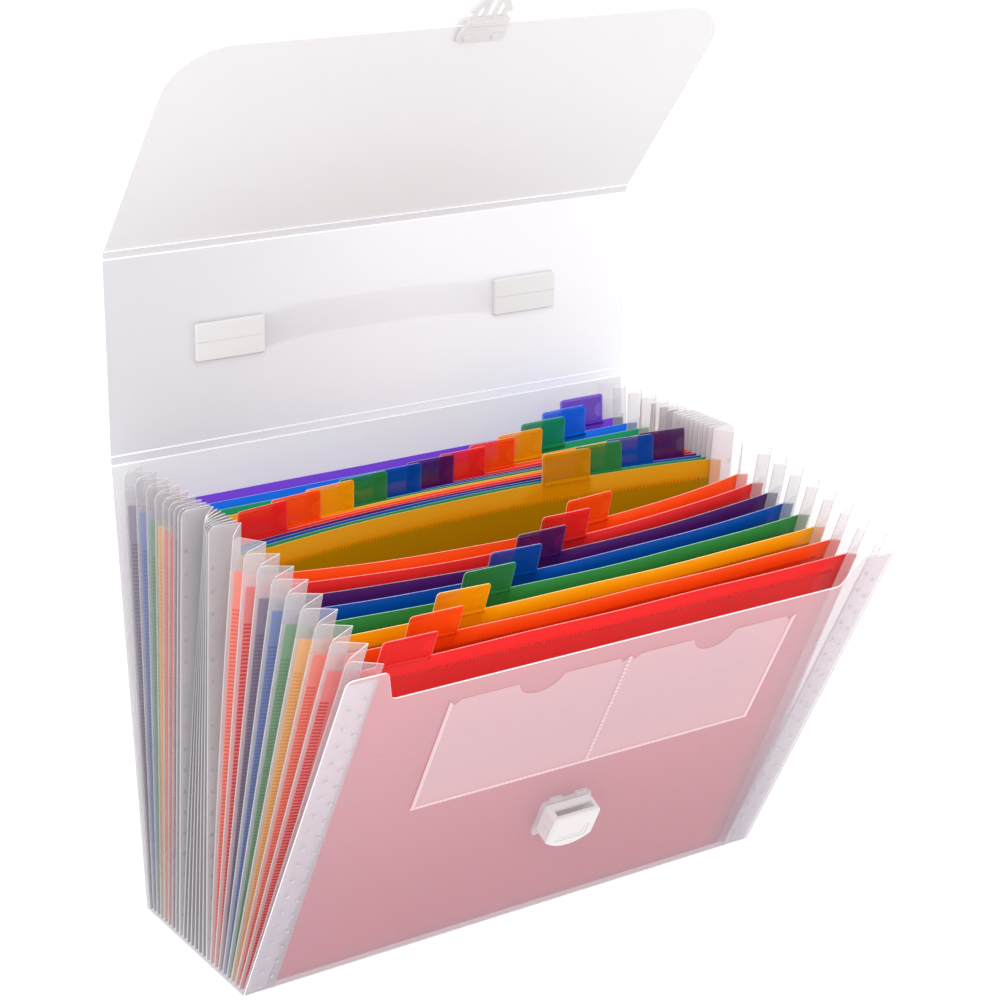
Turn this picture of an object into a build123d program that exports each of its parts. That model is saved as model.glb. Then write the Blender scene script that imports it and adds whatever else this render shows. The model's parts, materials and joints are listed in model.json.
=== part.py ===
from build123d import *
import os
from math import asin, ceil, cos, degrees, radians, sin, sqrt, tan

# Accordion file folder for A4 and letter papers, open as it stands on a table.
# Millimetres and degrees. X runs across the folder, -Y is its front, +Z is up.
# The origin is the middle of the base panel's underside.
# A lean is a panel's angle from upright: positive leans back, negative leans forward.

# Cover: one creased sheet, a flat panel between each pair of creases
cover_width = 330.0
cover_sheet = 0.8
base_depth = 112.0
back_height = 249.5
crease_strip = 5.0
lid_depth = 105.0
flap_length = 145.0
flap_corner_radius = 32.0
front_height = 240.0
ear_width = 22.0
ear_slope_run = 7.0
ear_corner_radius = 4.0
front_notch_depth = 20.5
fold_clearance = 0.05
score_width = 0.9
score_depth = 0.25
base_edge_gap = 0.3
panel_foot_gap = 0.55

# How the open folder stands, and how it stands when it is closed
back_lean = 5.0
lid_lean = 0.0
flap_lean = -38.5
front_lean = -27.0
back_lean_closed = 0.0
lid_lean_closed = -90.0
flap_lean_closed = -180.0
front_lean_closed = 3.0

# Dividers and their label tabs
divider_count = 24
divider_sheet = 0.3
divider_drop = 18.0
divider_floor_gap = 0.4
tabs_per_row = 12
tab_width = 30.0
tab_height = 16.0
tab_edge_gap = 7.7
front_bow = 16.0
front_bow_growth = 1.5
rear_bow = 13.0
rear_bow_fade = 1.5
flat_dividers = 4
strip_width = 44.0

# Pocket mouths, front to back, as shares of the open depth at the divider tops
pockets_per_length = 8
front_mouth = 13.0
wide_mouth = 24.0
tight_mouth = 4.2
rear_mouth_first = 3.5
rear_mouth_last = 16.0
rear_mouth_growth = 1.5

# Bellows: pleated film on both sides
film = 0.4
pleat_ply = 17.0
bellows_inset = 0.5
bellows_drop = 2.5
seam_gap = 0.3
weld_gap = 0.1
weld_tab_inset = 1.0
joint_setback = 2.0

# Card pocket on the front panel
card_pocket_offset = 5.0
card_pocket_width = 212.0
card_pocket_foot = 127.0
card_pocket_height = 80.0
card_film = 0.3
card_seam = 2.0
card_seam_height = 0.5
thumb_radius = 14.0
thumb_rise = 4.0
nick_width = 3.0
nick_depth = 3.5
nick_inset = 3.5

# Latch receiver on the front panel
latch_offset = 6.0
receiver_top = 95.0
receiver_width = 29.5
receiver_side = 19.0
receiver_height = 25.0
receiver_depth = 11.0
receiver_corner = 2.0
receiver_edge = 1.2
receiver_front_wall = 2.0
receiver_top_wall = 2.2
receiver_cavity_width = 25.4
receiver_cavity_height = 18.3
slot_width = 23.8
slot_gap = 4.3
slot_middle = 5.8
side_slit_drop = 10.0
side_slit_width = 0.8
side_slit_length = 4.0
button_width = 19.0
button_height = 9.0
button_drop = 9.75
button_clearance = 0.25
button_flange = 1.0
button_recess = 0.4
button_dish = 0.4
button_dish_rim = 1.5
button_corner = 1.5
button_travel = 0.9
backing_margin = 0.75
backing_thickness = 1.6
backing_tab_width = 7.0
backing_tab_height = 2.5
backing_tab_spread = 8.0
backing_post_diameter = 2.0
backing_post_spread = 5.0
backing_post_drop = 22.3
backing_post_reach = 4.5
post_clearance = 0.15

# Latch tongue on the flap's free edge
tongue_width = 30.0
tongue_grip = 12.0
tongue_plate = 2.2
tongue_corner = 3.0
tongue_lip = 3.5
tongue_lip_gap = 0.3
clamp_bar = 1.6
clamp_bar_inset = 1.0
prong_length = 16.0
prong_thickness = 2.0
prong_inner = 2.2
prong_neck = 9.5
prong_barb = 12.2
prong_barb_rise = 5.5
prong_barb_height = 1.2
prong_tip = 6.6
prong_wall = 1.7
tongue_post_diameter = 5.0
tongue_post_spread = 8.5
tongue_post_inset = 7.0
tongue_post_proud = 1.4

# Carrying handle on the outside of the lid
handle_spread = 94.0
handle_rise = 54.5
plate_width = 41.0
plate_height = 20.5
plate_thickness = 2.2
plate_edge = 1.0
plate_line = 0.4
cap_thickness = 6.5
cap_edge = 1.4
strap_width = 18.0
strap_thickness = 1.6
strap_reach = 87.5
strap_straight = 68.0
strap_crown = 38.0
strap_crown_gap = 12.9
strap_bend_radius = 45.0
strap_stop_length = 3.0
strap_stop_thickness = 3.2
strap_clearance = 0.3
mouth_length = 6.5
handle_peg = 3.6
handle_peg_offsets = (2.0, 14.5)
handle_peg_reach = 4.0

# Places that follow from those sizes
pocket_count = divider_count + 1
half_sheet = cover_sheet / 2
fold_gap = half_sheet + fold_clearance
valley_x = cover_width / 2 - bellows_inset - pleat_ply
divider_width = 2 * (valley_x - film / 2 - seam_gap)
divider_foot = cover_sheet + divider_floor_gap
tab_pitch = (divider_width - 2 * tab_edge_gap - tab_width) / (tabs_per_row - 1)
bellows_height = back_height - bellows_drop
divider_height = bellows_height - divider_drop
top_ref = divider_height


def leaning(y, z, lean):
    """The plane of a panel that stands on a line at y, z: local x runs across, local y runs up the panel."""
    return Plane(origin=(0, y, z), x_dir=(1, 0, 0), z_dir=(0, -cos(radians(lean)), sin(radians(lean))))


def along(y, z, lean, distance):
    """The point at a distance up a panel from its foot."""
    return y + distance * sin(radians(lean)), z + distance * cos(radians(lean))


# Hinge lines of the cover as y, z, from the base up the back and over to the flap
front_hinge = (-base_depth / 2, half_sheet)
rear_hinge = (base_depth / 2, half_sheet)
rear_strip_lean = (back_lean + lid_lean) / 2
front_strip_lean = (lid_lean + flap_lean) / 2
rear_score = along(*rear_hinge, back_lean, back_height)
lid_score = along(*rear_score, rear_strip_lean, crease_strip)
front_score = along(*lid_score, lid_lean, lid_depth)
flap_score = along(*front_score, front_strip_lean, crease_strip)

front_plane = leaning(*front_hinge, front_lean)
back_plane = leaning(*rear_hinge, back_lean)
rear_strip_plane = leaning(*rear_score, rear_strip_lean)
lid_plane = leaning(*lid_score, lid_lean)
front_strip_plane = leaning(*front_score, front_strip_lean)
flap_plane = leaning(*flap_score, flap_lean)


def pocket_mouths():
    """Share of the open depth that each pocket takes at the divider tops, from the front."""
    rear_count = pocket_count - 2 * pockets_per_length
    mouths = [front_mouth] * pockets_per_length
    mouths += [wide_mouth] + [tight_mouth] * (pockets_per_length - 1)
    for step in range(rear_count):
        share = (step / (rear_count - 1)) ** rear_mouth_growth
        mouths.append(rear_mouth_first + (rear_mouth_last - rear_mouth_first) * share)
    return mouths


def fan():
    """Foot place, open lean and closed lean of the front panel, each divider and the back panel."""
    front_top = -base_depth / 2 + top_ref * sin(radians(front_lean))
    back_top = base_depth / 2 + top_ref * sin(radians(back_lean))
    mouths = pocket_mouths()
    scale = (back_top - front_top) / sum(mouths)
    feet, opens, closes = [], [], []
    for index in range(pocket_count + 1):
        share = index / pocket_count
        foot = -base_depth / 2 + base_depth * share
        top = front_top + scale * sum(mouths[:index])
        feet.append(foot)
        opens.append(degrees(asin((top - foot) / top_ref)))
        closes.append(front_lean_closed + (back_lean_closed - front_lean_closed) * share)
    return feet, opens, closes


fan_feet, fan_leans, fan_closed_leans = fan()


def box_between(x, s, z):
    """A block between two x places, two places up the panel and two heights off it."""
    block = Box(x[1] - x[0], s[1] - s[0], z[1] - z[0])
    return Pos((x[0] + x[1]) / 2, (s[0] + s[1]) / 2, (z[0] + z[1]) / 2) * block


def rectangle_between(x, s):
    return Pos((x[0] + x[1]) / 2, (s[0] + s[1]) / 2) * Rectangle(x[1] - x[0], s[1] - s[0])


def raised(outline, low, high):
    """An outline on a panel, given thickness between two heights off the panel's middle."""
    return Pos(0, 0, low) * extrude(outline, amount=high - low)


def corners_at(outline, height):
    return [v for v in outline.vertices() if abs(v.Y - height) < fold_clearance / 2]


# Cover panels

def base_panel():
    depth = base_depth - 2 * base_edge_gap
    return Pos(0, 0, half_sheet) * Box(cover_width, depth, cover_sheet)


def back_panel():
    outline = rectangle_between(
        (-cover_width / 2, cover_width / 2), (panel_foot_gap, back_height - fold_gap)
    )
    return back_plane * raised(outline, -half_sheet, half_sheet)


def front_panel():
    """The front panel, with its middle lowered between two ears and holes for the latch posts."""
    half = cover_width / 2
    notch_top = half - ear_width
    notch_floor = front_height - front_notch_depth
    outline = rectangle_between((-half, half), (panel_foot_gap, front_height))
    notch = make_face(
        Polyline(
            (-notch_top, front_height),
            (-notch_top + ear_slope_run, notch_floor),
            (notch_top - ear_slope_run, notch_floor),
            (notch_top, front_height),
            close=True,
        )
    )
    outline = outline - notch
    rounded = corners_at(outline, front_height) + corners_at(outline, notch_floor)
    outline = fillet(rounded, ear_corner_radius)
    for side in (-1, 1):
        hole = Circle((backing_post_diameter + 2 * post_clearance) / 2)
        middle = latch_offset + side * backing_post_spread
        outline = outline - Pos(middle, receiver_top - backing_post_drop) * hole
    return front_plane * raised(outline, -half_sheet, half_sheet)


def lid_panel():
    """The lid with the rear crease strip along its foot, scored on both faces where the two meet."""
    half = cover_width / 2
    outline = rectangle_between((-half, half), (0, lid_depth - fold_gap))
    hole = Rectangle(handle_peg + 2 * post_clearance, handle_peg + 2 * post_clearance)
    for side in (-1, 1):
        for offset in handle_peg_offsets:
            outline = outline - Pos(side * (handle_spread + offset), handle_rise) * hole
    strip = rectangle_between((-half, half), (fold_gap, crease_strip))
    body = lid_plane * raised(outline, -half_sheet, half_sheet)
    body += rear_strip_plane * raised(strip, -half_sheet, half_sheet)
    score = rectangle_between((-half, half), (-score_width / 2, score_width / 2))
    for low in (-half_sheet - score_depth, half_sheet - score_depth):
        body -= lid_plane * raised(score, low, low + 2 * score_depth)
    return body


def front_crease_strip():
    outline = rectangle_between((-cover_width / 2, cover_width / 2), (fold_gap, crease_strip - fold_gap))
    return front_strip_plane * raised(outline, -half_sheet, half_sheet)


def flap():
    outline = rectangle_between((-cover_width / 2, cover_width / 2), (fold_gap, flap_length))
    outline = fillet(corners_at(outline, flap_length), flap_corner_radius)
    for side in (-1, 1):
        hole = Circle(tongue_post_diameter / 2 + post_clearance)
        middle = latch_offset + side * tongue_post_spread
        outline = outline - Pos(middle, flap_length - tongue_post_inset) * hole
    return flap_plane * raised(outline, -half_sheet, half_sheet)


# Dividers

def tab_middle(number):
    """Place of a divider's tab across the folder: the tabs step from left to right in two rows."""
    step = (number - 1) % tabs_per_row
    return (step - (tabs_per_row - 1) / 2) * tab_pitch


def divider_bow(number):
    """How far the middle of a divider's top edge bows forwards: the wide pocket parts its two sides."""
    if number <= pockets_per_length:
        return front_bow * (number / pockets_per_length) ** front_bow_growth
    first = pockets_per_length + 1
    share = (number - first) / (divider_count - flat_dividers + 1 - first)
    return -rear_bow * (1 - min(share, 1) ** rear_bow_fade)


def divider_top(number, x):
    """A point of a divider's top edge, which bows out most in its middle."""
    return Vector(x, divider_height, divider_bow(number) * (1 - (2 * x / divider_width) ** 2))


def strip_ends(number, start, end):
    """The points that part a stretch of a divider's top edge into flat strips."""
    count = ceil((end - start) / strip_width)
    return [divider_top(number, start + (end - start) * step / count) for step in range(count + 1)]


def divider(number):
    """One coloured sheet with its label tab: flat strips spread from the middle of its foot to its bowed top."""
    half_width = divider_width / 2
    tab_left = tab_middle(number) - tab_width / 2
    tab_right = tab_left + tab_width
    left = strip_ends(number, -half_width, tab_left)
    right = strip_ends(number, tab_right, half_width)
    tab_slope = (tab_right * left[-1].Z - tab_left * right[0].Z) / (tab_width * divider_height)
    rise = Vector(0, tab_height, tab_height * tab_slope)
    tab = [left[-1], left[-1] + rise, right[0] + rise, right[0]]
    foot = [Vector(x, 0, 0) for x in (half_width, 0, -half_width)]
    strips = [[foot[0], right[-1], foot[1]], [foot[2], foot[1], left[0]], [foot[1], *tab]]
    for top in (left, right):
        strips += [[foot[1], *pair] for pair in zip(top, top[1:])]
    rim = left + tab[1:3] + right + foot
    through = Vector(0, 0, divider_sheet)
    outlines = strips + [[point + through for point in strip] for strip in strips]
    for near, far in zip(rim, rim[1:] + rim[:1]):
        outlines.append([near, far, far + through, near + through])
    faces = [Face(Wire.make_polygon(outline)) for outline in outlines]
    sheet = Pos(0, 0, -divider_sheet / 2) * Solid(Shell(faces))
    return leaning(fan_feet[number], divider_foot, fan_leans[number]) * sheet


# Bellows

def fan_place(index, z):
    """Where the film's fold at a divider, or its weld on an end panel, lies at a height."""
    lean = radians(fan_leans[index])
    off = 0.0
    foot = divider_foot
    if index in (0, pocket_count):
        off = (half_sheet + weld_gap + film / 2) / cos(lean)
        foot = half_sheet
    inward = 1 if index == 0 else -1
    return fan_feet[index] + (z - foot) * tan(lean) + inward * off


def pleat_path(first, last, z):
    """The folded film seen from above at a height, from one divider's fold to another's."""
    places = [fan_place(index, z) for index in range(first, last + 1)]
    path = [Vector(valley_x, places[0])]
    for near, far in zip(places, places[1:]):
        half_gap = (far - near) / 2
        path.append(Vector(valley_x + sqrt(pleat_ply**2 - half_gap**2), near + half_gap))
        path.append(Vector(valley_x, far))
    tab_end = cover_width / 2 - weld_tab_inset
    if first == 0:
        path.insert(0, Vector(tab_end, places[0]))
    if last == pocket_count:
        path.append(Vector(tab_end, places[-1]))
    else:
        path[-1] = path[-1] + (path[-2] - path[-1]).normalized() * joint_setback
    return path


def film_sides(path):
    """Both edges of folded film seen from above: mitred inside each fold and blunt outside it."""
    half = film / 2
    runs = [b - a for a, b in zip(path, path[1:])]
    normals = [Vector(-run.Y, run.X).normalized() * half for run in runs]
    left = [path[0] + normals[0]]
    right = [path[0] - normals[0]]
    for place, run, after, n1, n2 in zip(path[1:], runs, runs[1:], normals, normals[1:]):
        mitre = (n1 + n2) * (half**2 / (half**2 + n1.dot(n2)))
        if run.cross(after).Z > 0:
            left.append(place + mitre)
            right += [place - n1, place - n2]
        else:
            left += [place + n1, place + n2]
            right.append(place - mitre)
    left.append(path[-1] + normals[-1])
    right.append(path[-1] - normals[-1])
    return left, right


def film_solid(low_path, low_z, high_path, high_z):
    """Folded film between two heights, each ply bent along one diagonal so that all its faces are flat."""
    left, right = film_sides(low_path)
    turn = len(left)
    low = [Vector(p.X, p.Y, low_z) for p in left + right[::-1]]
    left, right = film_sides(high_path)
    high = [Vector(p.X, p.Y, high_z) for p in left + right[::-1]]
    faces = [low, high]
    for index in range(len(low)):
        after = (index + 1) % len(low)
        corners = [low[index], low[after], high[after], high[index]]
        if index >= turn - 1:
            corners = corners[1:] + corners[:1]
        faces.append([corners[0], corners[1], corners[2]])
        faces.append([corners[0], corners[2], corners[3]])
    return Solid(Shell([Face(Wire.make_polygon(points, close=True)) for points in faces]))


def bellows_top(first, last):
    """Block above the film's top edge, which curves over the leaning panels of one length."""
    rim = []
    for index in (first, (first + last) // 2, last):
        rim.append(along(fan_feet[index], divider_foot, fan_leans[index], bellows_height))
    front, rear = rim[0][0] - cover_width, rim[-1][0] + cover_width
    reach = bellows_height + cover_width
    ends = Polyline(
        rim[-1], (rear, rim[-1][1]), (rear, reach), (front, reach), (front, rim[0][1]), rim[0]
    )
    outline = make_face(ThreePointArc(*rim) + ends)
    return extrude(Plane.YZ * outline, amount=cover_width, both=True)


def bellows(first, last):
    """One welded length of the right-hand bellows: a fan of pleats, cut above the dividers' tops."""
    low = cover_sheet
    high = bellows_height + divider_foot + cover_sheet
    pleats = film_solid(pleat_path(first, last, low), low, pleat_path(first, last, high), high)
    return pleats - bellows_top(first, last)


# Card pocket

def card_pocket():
    """Clear film welded to the front panel along its sides, its foot and its middle."""
    half = card_pocket_width / 2
    top = card_pocket_foot + card_pocket_height
    outline = rectangle_between((-half, half), (card_pocket_foot, top))
    seams = rectangle_between((-half, half), (card_pocket_foot, card_pocket_foot + card_seam))
    for left in (-half, -card_seam / 2, half - card_seam):
        seams = seams + rectangle_between((left, left + card_seam), (card_pocket_foot, top))
    for side in (-1, 1):
        outline = outline - Pos(side * half / 2, top + thumb_rise) * Circle(thumb_radius)
        for inset in (nick_inset, half - nick_inset):
            nick = Polyline((-nick_width, top), (nick_width, top), (0, top - nick_depth), close=True)
            outline = outline - Pos(side * inset, 0) * make_face(nick)
    low = half_sheet + card_seam_height
    pocket = raised(outline, low, low + card_film) + raised(seams, half_sheet, low)
    return front_plane * Pos(card_pocket_offset, 0, 0) * pocket


# Latch

def receiver_outline():
    half = receiver_width / 2
    low = receiver_top - receiver_side
    sides = Polyline((-half, low), (-half, receiver_top), (half, receiver_top), (half, low))
    foot = ThreePointArc((half, low), (0, receiver_top - receiver_height), (-half, low))
    outline = make_face(sides + foot)
    return fillet(outline.vertices(), receiver_corner)


def button_block(margin, low, high):
    """A block of the button's outline, made larger by a margin, between two heights off the panel."""
    half = button_width / 2 + margin
    top = receiver_top - button_drop + margin
    outline = rectangle_between((-half, half), (top - button_height - 2 * margin, top))
    outline = fillet(outline.vertices(), button_corner)
    return raised(outline, low, high)


def post(x, s, diameter, low, high):
    return Pos(x, s, (low + high) / 2) * Cylinder(diameter / 2, high - low)


def backing_posts(diameter, low, high):
    s = receiver_top - backing_post_drop
    left = post(-backing_post_spread, s, diameter, low, high)
    return left + post(backing_post_spread, s, diameter, low, high)


def latch_receiver():
    """Moulded housing with the slot for the tongue in its top and the button's window in its face."""
    front = half_sheet + receiver_depth
    inside = front - receiver_front_wall
    body = raised(receiver_outline(), half_sheet, front)
    body = chamfer(body.faces().sort_by(Axis.Z)[-1].edges(), receiver_edge)
    half_cavity = receiver_cavity_width / 2
    cavity_top = receiver_top - receiver_top_wall
    body -= box_between(
        (-half_cavity, half_cavity), (cavity_top - receiver_cavity_height, cavity_top), (half_sheet, inside)
    )
    slot = half_sheet + slot_middle
    body -= box_between(
        (-slot_width / 2, slot_width / 2),
        (cavity_top, receiver_top),
        (slot - slot_gap / 2, slot + slot_gap / 2),
    )
    body -= button_block(button_clearance, inside, front)
    slit = receiver_top - side_slit_drop
    body -= box_between(
        (-receiver_width / 2, receiver_width / 2),
        (slit - side_slit_width, slit),
        (slot - side_slit_length / 2, slot + side_slit_length / 2),
    )
    socket = backing_post_diameter + post_clearance
    body -= backing_posts(socket, half_sheet, half_sheet + backing_post_reach + post_clearance)
    return front_plane * Pos(latch_offset, 0, 0) * body


def latch_button():
    """Push button, held behind the window by its flange and dished on its face."""
    front = half_sheet + receiver_depth
    shoulder = front - receiver_front_wall - post_clearance
    face = front - button_recess
    body = button_block(0, shoulder, face)
    body += button_block(button_flange, shoulder - button_flange, shoulder)
    body -= button_block(-button_dish_rim, face - button_dish, face)
    return front_plane * Pos(latch_offset, 0, 0) * body


def latch_backing_plate():
    """Plate behind the front panel, with two posts through the panel and two tabs on its top edge."""
    half = receiver_width / 2 + backing_margin
    top = receiver_top + backing_margin
    outline = rectangle_between((-half, half), (receiver_top - receiver_height, top))
    outline = fillet(outline.vertices(), receiver_corner)
    for side in (-1, 1):
        left = side * backing_tab_spread - backing_tab_width / 2
        outline = outline + rectangle_between(
            (left, left + backing_tab_width), (top - receiver_corner, top + backing_tab_height)
        )
    plate = raised(outline, -half_sheet - backing_thickness, -half_sheet)
    reach = half_sheet + backing_post_reach
    posts = backing_posts(backing_post_diameter, -half_sheet - backing_thickness, reach)
    return front_plane * Pos(latch_offset, 0, 0) * (plate + posts)


def prong(side):
    """One springy prong: a barbed arrow with an open middle."""
    foot = flap_length + tongue_lip
    barb = foot + prong_barb_rise
    tip = foot + prong_length
    arrow = make_face(
        Polyline(
            (side * prong_inner, foot),
            (side * prong_neck, foot),
            (side * prong_neck, barb),
            (side * prong_barb, barb),
            (side * prong_barb, barb + prong_barb_height),
            (side * prong_tip, tip),
            (side * prong_inner, tip),
            close=True,
        )
    )
    eye = make_face(
        Polyline(
            (side * (prong_inner + prong_wall), foot + prong_wall),
            (side * (prong_neck - prong_wall), foot + prong_wall),
            (side * (prong_neck - prong_wall), barb + prong_barb_height),
            (side * (prong_inner + prong_wall), tip - 2 * prong_wall),
            close=True,
        )
    )
    return raised(arrow - eye, -prong_thickness / 2, prong_thickness / 2)


def latch_tongue():
    """Plate outside the flap, lip over its edge, two posts through it and two prongs."""
    half = tongue_width / 2
    end = flap_length + tongue_lip
    outer = -half_sheet - tongue_plate
    outline = rectangle_between((-half, half), (flap_length - tongue_grip, end))
    outline = fillet(outline.vertices(), tongue_corner)
    body = raised(outline, outer, -half_sheet)
    lip_half = half - tongue_corner
    body += box_between(
        (-lip_half, lip_half), (flap_length + tongue_lip_gap, end), (outer, half_sheet + clamp_bar)
    )
    proud = half_sheet + clamp_bar + tongue_post_proud
    for side in (-1, 1):
        s = flap_length - tongue_post_inset
        body += post(side * tongue_post_spread, s, tongue_post_diameter, -half_sheet, proud)
        body += prong(side)
    return flap_plane * Pos(latch_offset, 0, 0) * body


def latch_clamp_bar():
    """Bar inside the flap that the tongue's posts are riveted through."""
    half = tongue_width / 2 - clamp_bar_inset
    outline = rectangle_between((-half, half), (flap_length - tongue_grip + clamp_bar_inset, flap_length))
    outline = fillet(outline.vertices(), tongue_corner)
    for side in (-1, 1):
        hole = Circle(tongue_post_diameter / 2 + post_clearance)
        outline = outline - Pos(side * tongue_post_spread, flap_length - tongue_post_inset) * hole
    return flap_plane * Pos(latch_offset, 0, 0) * raised(outline, half_sheet, half_sheet + clamp_bar)


# Handle

def handle_pegs(side, width, low, high):
    """The two square pegs that join a plate to its cap through the lid."""
    pegs = []
    for offset in handle_peg_offsets:
        x = side * (handle_spread + offset)
        sides = (x - width / 2, x + width / 2)
        pegs.append(box_between(sides, (handle_rise - width / 2, handle_rise + width / 2), (low, high)))
    return pegs[0] + pegs[1]


def handle_plate(side):
    """Inner plate with a fine line across its middle, and pegs that go through the lid into the cap."""
    face = half_sheet + plate_thickness
    place = Pos(side * handle_spread, handle_rise)
    body = raised(place * RectangleRounded(plate_width, plate_height, plate_edge), half_sheet, face)
    body = chamfer(body.faces().sort_by(Axis.Z)[-1].edges(), plate_edge / 2)
    body -= raised(place * Rectangle(plate_width, plate_line), face - plate_line, face)
    body += handle_pegs(side, handle_peg, -half_sheet - handle_peg_reach, half_sheet)
    return lid_plane * body


def handle_cap(side):
    """Outer cap that holds one end of the strap in a chamber behind a narrow mouth."""
    inner = handle_spread - plate_width / 2
    back = -half_sheet - cap_thickness
    middle = -half_sheet - cap_thickness / 2
    cap = RectangleRounded(plate_width, plate_height + 2 * plate_edge, cap_edge)
    body = raised(Pos(side * handle_spread, handle_rise) * cap, back, -half_sheet)
    body = chamfer(body.faces().sort_by(Axis.Z)[0].edges(), cap_edge / 2)
    half_width = strap_width / 2 + strap_clearance
    across = (handle_rise - half_width, handle_rise + half_width)
    mouth = strap_thickness / 2 + strap_clearance
    chamber = strap_stop_thickness / 2 + strap_clearance
    throat = inner + mouth_length
    hollow = box_between((inner, throat), across, (middle - mouth, middle + mouth))
    stop_room = (throat, strap_reach + strap_clearance)
    hollow += box_between(stop_room, across, (middle - chamber, middle + chamber))
    if side < 0:
        hollow = mirror(hollow, about=Plane.YZ)
    body -= hollow
    socket = handle_peg + post_clearance
    body -= handle_pegs(side, socket, -half_sheet - handle_peg_reach - post_clearance, -half_sheet)
    return lid_plane * body


def handle_strap():
    """Flat strap bowed off the lid, with a thicker stop at each end."""
    ends = -half_sheet - cap_thickness / 2
    crown = -half_sheet - strap_crown_gap - strap_thickness / 2
    last = strap_reach - strap_thickness / 2
    route = FilletPolyline(
        (-last, ends),
        (-strap_straight, ends),
        (-strap_crown, crown),
        (strap_crown, crown),
        (strap_straight, ends),
        (last, ends),
        radius=strap_bend_radius,
    )
    profile = make_face(offset(route, amount=strap_thickness / 2, side=Side.BOTH, kind=Kind.INTERSECTION))
    for side in (-1, 1):
        stop = Rectangle(strap_stop_length, strap_stop_thickness)
        profile = profile + Pos(side * (strap_reach - strap_stop_length / 2), ends) * stop
    across = Plane(origin=(0, handle_rise, 0), x_dir=(1, 0, 0), z_dir=(0, -1, 0))
    return lid_plane * extrude(across * profile, amount=strap_width / 2, both=True)


def nodes():
    """Every piece under its name."""
    pieces = {
        "base_panel": base_panel(),
        "back_panel": back_panel(),
        "front_panel": front_panel(),
        "lid_panel": lid_panel(),
        "front_crease_strip": front_crease_strip(),
        "flap": flap(),
        "card_pocket": card_pocket(),
        "latch_receiver": latch_receiver(),
        "latch_button": latch_button(),
        "latch_backing_plate": latch_backing_plate(),
        "latch_tongue": latch_tongue(),
        "latch_clamp_bar": latch_clamp_bar(),
        "handle_strap": handle_strap(),
    }
    for name, side in (("left", -1), ("right", 1)):
        pieces[f"handle_plate_{name}"] = handle_plate(side)
        pieces[f"handle_cap_{name}"] = handle_cap(side)
    for number in range(1, divider_count + 1):
        pieces[f"divider_{number:02d}"] = divider(number)
    lengths = {
        "front": (0, pockets_per_length),
        "middle": (pockets_per_length, 2 * pockets_per_length),
        "rear": (2 * pockets_per_length, pocket_count),
    }
    for name, (first, last) in lengths.items():
        right = bellows(first, last)
        pieces[f"bellows_right_{name}"] = right
        pieces[f"bellows_left_{name}"] = mirror(right, about=Plane.YZ)
    return pieces


os.makedirs("parts", exist_ok=True)
for name, piece in nodes().items():
    export_step(piece, f"parts/{name}.step")
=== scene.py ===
import json
from math import asin, atan2, cos, pi, radians, sin, sqrt

import bmesh
import bpy
from mathutils import Matrix, Vector


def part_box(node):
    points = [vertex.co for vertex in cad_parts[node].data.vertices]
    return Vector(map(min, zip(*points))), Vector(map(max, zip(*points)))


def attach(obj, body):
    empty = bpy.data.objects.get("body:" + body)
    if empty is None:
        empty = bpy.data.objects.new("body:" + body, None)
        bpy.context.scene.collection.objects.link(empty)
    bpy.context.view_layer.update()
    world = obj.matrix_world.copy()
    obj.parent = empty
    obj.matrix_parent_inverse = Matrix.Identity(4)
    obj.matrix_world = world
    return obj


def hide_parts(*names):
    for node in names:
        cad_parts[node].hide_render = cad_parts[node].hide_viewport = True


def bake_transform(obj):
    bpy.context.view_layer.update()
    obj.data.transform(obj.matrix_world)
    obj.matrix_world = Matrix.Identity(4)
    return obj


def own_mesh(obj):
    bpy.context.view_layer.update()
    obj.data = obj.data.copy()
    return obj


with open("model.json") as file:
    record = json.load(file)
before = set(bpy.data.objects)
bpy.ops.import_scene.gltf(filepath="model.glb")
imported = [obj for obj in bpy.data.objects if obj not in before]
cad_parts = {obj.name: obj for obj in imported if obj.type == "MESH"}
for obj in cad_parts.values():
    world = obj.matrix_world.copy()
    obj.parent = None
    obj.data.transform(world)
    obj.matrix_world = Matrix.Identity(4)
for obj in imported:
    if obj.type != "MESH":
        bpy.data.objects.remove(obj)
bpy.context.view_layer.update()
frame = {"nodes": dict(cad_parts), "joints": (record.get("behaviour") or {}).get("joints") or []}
nodes = frame["nodes"]

# Cover
# One sheet of frosted polypropylene, extruded with a fine grain on both faces, die cut and scored. Folded,
# it is the base, back, lid, flap and front. It lets light through, and its cut edges are bright, drawn as a
# painted highlight.


class Socket:
    """An output of a shader node that can be used in sums."""

    def __init__(self, finish, output):
        self.finish = finish
        self.output = output

    def __add__(self, other):
        return self.finish.math("ADD", self, other)

    def __radd__(self, other):
        return self.finish.math("ADD", other, self)

    def __sub__(self, other):
        return self.finish.math("SUBTRACT", self, other)

    def __rsub__(self, other):
        return self.finish.math("SUBTRACT", other, self)

    def __mul__(self, other):
        return self.finish.math("MULTIPLY", self, other)

    def __rmul__(self, other):
        return self.finish.math("MULTIPLY", other, self)

    def __abs__(self):
        return self.finish.math("ABSOLUTE", self)


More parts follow.
